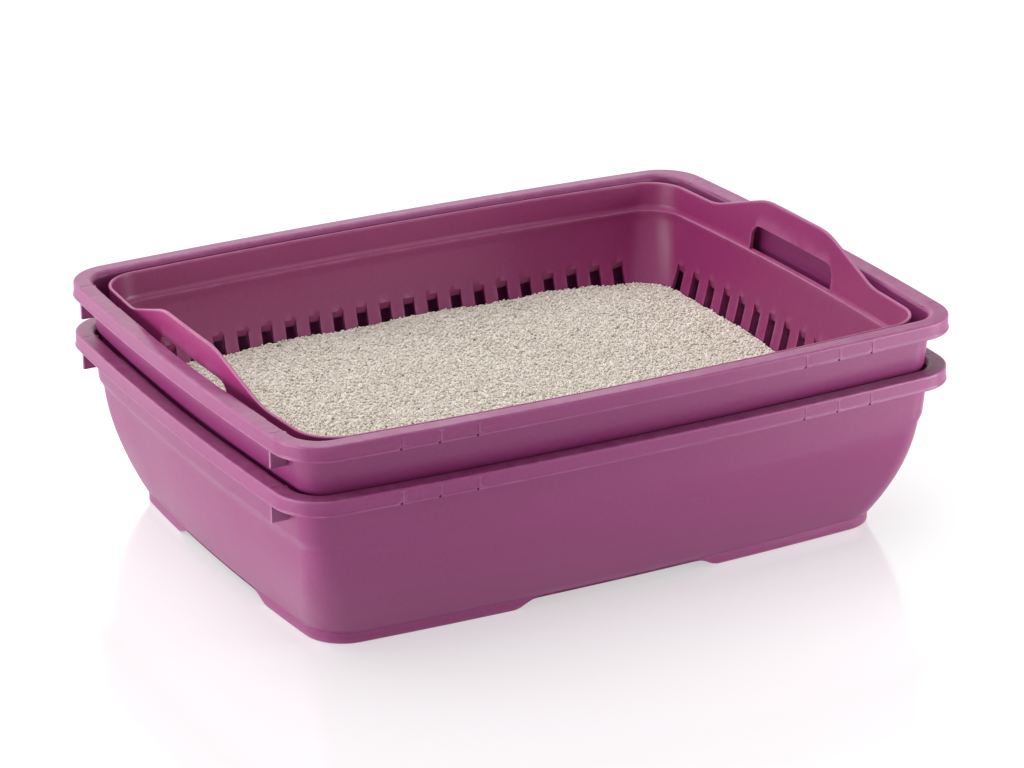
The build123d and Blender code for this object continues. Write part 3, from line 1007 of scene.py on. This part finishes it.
bed = draw_wall("litter_bed_body", bed_outlines())
finish_surface(bed, 60)
rim_line = [(x, y) for x, y, _ in litter_rim(tray_wall + 1.3)]
spots = random.uniform((-225, -165), (225, 165), (grain_count * 2, 2))
spots = spots[inside(spots, rim_line)][:grain_count]
shapes = [grain_shape(i) for i in range(grain_shapes)]
grain_faces = shapes[0][1]
grain_corners = np.array([shape for shape, _ in shapes])
litter_pieces = [bed]
for first in range(0, len(spots), grains_a_piece):
    some = spots[first : first + grains_a_piece]
    count = len(some)
    size = np.exp(random.normal(grain_size_log, grain_size_spread, count))
    height = litter_height(some[:, 0], some[:, 1])
    height = height + random.uniform(grain_sunk, grain_proud, count)
    middle = np.column_stack([some, height]) * mm
    turns = random.normal(size=(count, 4))
    turns /= np.linalg.norm(turns, axis=1)[:, None]
    w, a, b, c = turns.T
    spin = np.array(
        [
            [1 - 2 * (b * b + c * c), 2 * (a * b - w * c), 2 * (a * c + w * b)],
            [2 * (a * b + w * c), 1 - 2 * (a * a + c * c), 2 * (b * c - w * a)],
            [2 * (a * c - w * b), 2 * (b * c + w * a), 1 - 2 * (a * a + b * b)],
        ]
    ).transpose(2, 0, 1)
    kind = random.integers(0, grain_shapes, count)
    corners = grain_corners[kind] * size[:, None, None]
    corners = np.einsum("nij,nkj->nki", spin, corners) + middle[:, None, :]
    faces = grain_faces[None] + (np.arange(count) * corners.shape[1])[:, None, None]
    mesh = bpy.data.meshes.new("grains")
    mesh.from_pydata(corners.reshape(-1, 3), [], faces.reshape(-1, 3))
    tone = mesh.attributes.new("tone", "FLOAT", "POINT")
    tone.data.foreach_set("value", np.repeat(random.uniform(0, 1, count), corners.shape[1]))
    grains = bpy.data.objects.new(f"litter_grains_{first // grains_a_piece + 1}", mesh)
    bpy.context.scene.collection.objects.link(grains)
    litter_pieces.append(grains)

dark_speck, bright_grain = (0.20, 0.17, 0.12, 1), (0.93, 0.92, 0.89, 1)
clay_tones = (
    (0.004, (0.24, 0.23, 0.15, 1)),
    (0.009, (0.50, 0.44, 0.35, 1)),
    (0.10, (0.74, 0.69, 0.61, 1)),
    (0.55, (0.80, 0.76, 0.70, 1)),
    (0.9, (0.86, 0.835, 0.79, 1)),
)
clay = bpy.data.materials.new("clay_litter")
clay.use_nodes = True
nodes, wire = clay.node_tree.nodes, clay.node_tree.links.new
shader = nodes["Principled BSDF"]
tone = nodes.new("ShaderNodeAttribute")
tone.attribute_name = "tone"
shade = nodes.new("ShaderNodeValToRGB")
first_tone, last_tone = shade.color_ramp.elements
first_tone.color = dark_speck
last_tone.color = bright_grain
for place, colour in clay_tones:
    shade.color_ramp.elements.new(place).color = colour
where = nodes.new("ShaderNodeTexCoord")
crumb = nodes.new("ShaderNodeTexNoise")
crumb.inputs["Scale"].default_value = 1400
crumb.inputs["Detail"].default_value = 3
bump = nodes.new("ShaderNodeBump")
bump.inputs["Strength"].default_value = 0.25
bump.inputs["Distance"].default_value = 0.0004
mottle = nodes.new("ShaderNodeMix")
mottle.data_type = "RGBA"
mottle.blend_type = "MULTIPLY"
mottle.inputs["B"].default_value = (0.86, 0.83, 0.79, 1)
wire(tone.outputs["Fac"], shade.inputs["Fac"])
wire(where.outputs["Object"], crumb.inputs["Vector"])
wire(crumb.outputs["Fac"], mottle.inputs["Factor"])
wire(shade.outputs["Color"], mottle.inputs["A"])
wire(mottle.outputs["Result"], shader.inputs["Base Color"])
wire(crumb.outputs["Fac"], bump.inputs["Height"])
wire(bump.outputs["Normal"], shader.inputs["Normal"])
shader.inputs["Roughness"].default_value = 0.85
bed_tone = bed.data.attributes.new("tone", "FLOAT", "POINT")
bed_tone.data.foreach_set("value", random.uniform(0.1, 0.6, len(bed.data.vertices)))
for piece in litter_pieces:
    piece.data.materials.clear()
    piece.data.materials.append(clay)
    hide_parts("litter_bed")
    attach(piece, "sifting_tray")
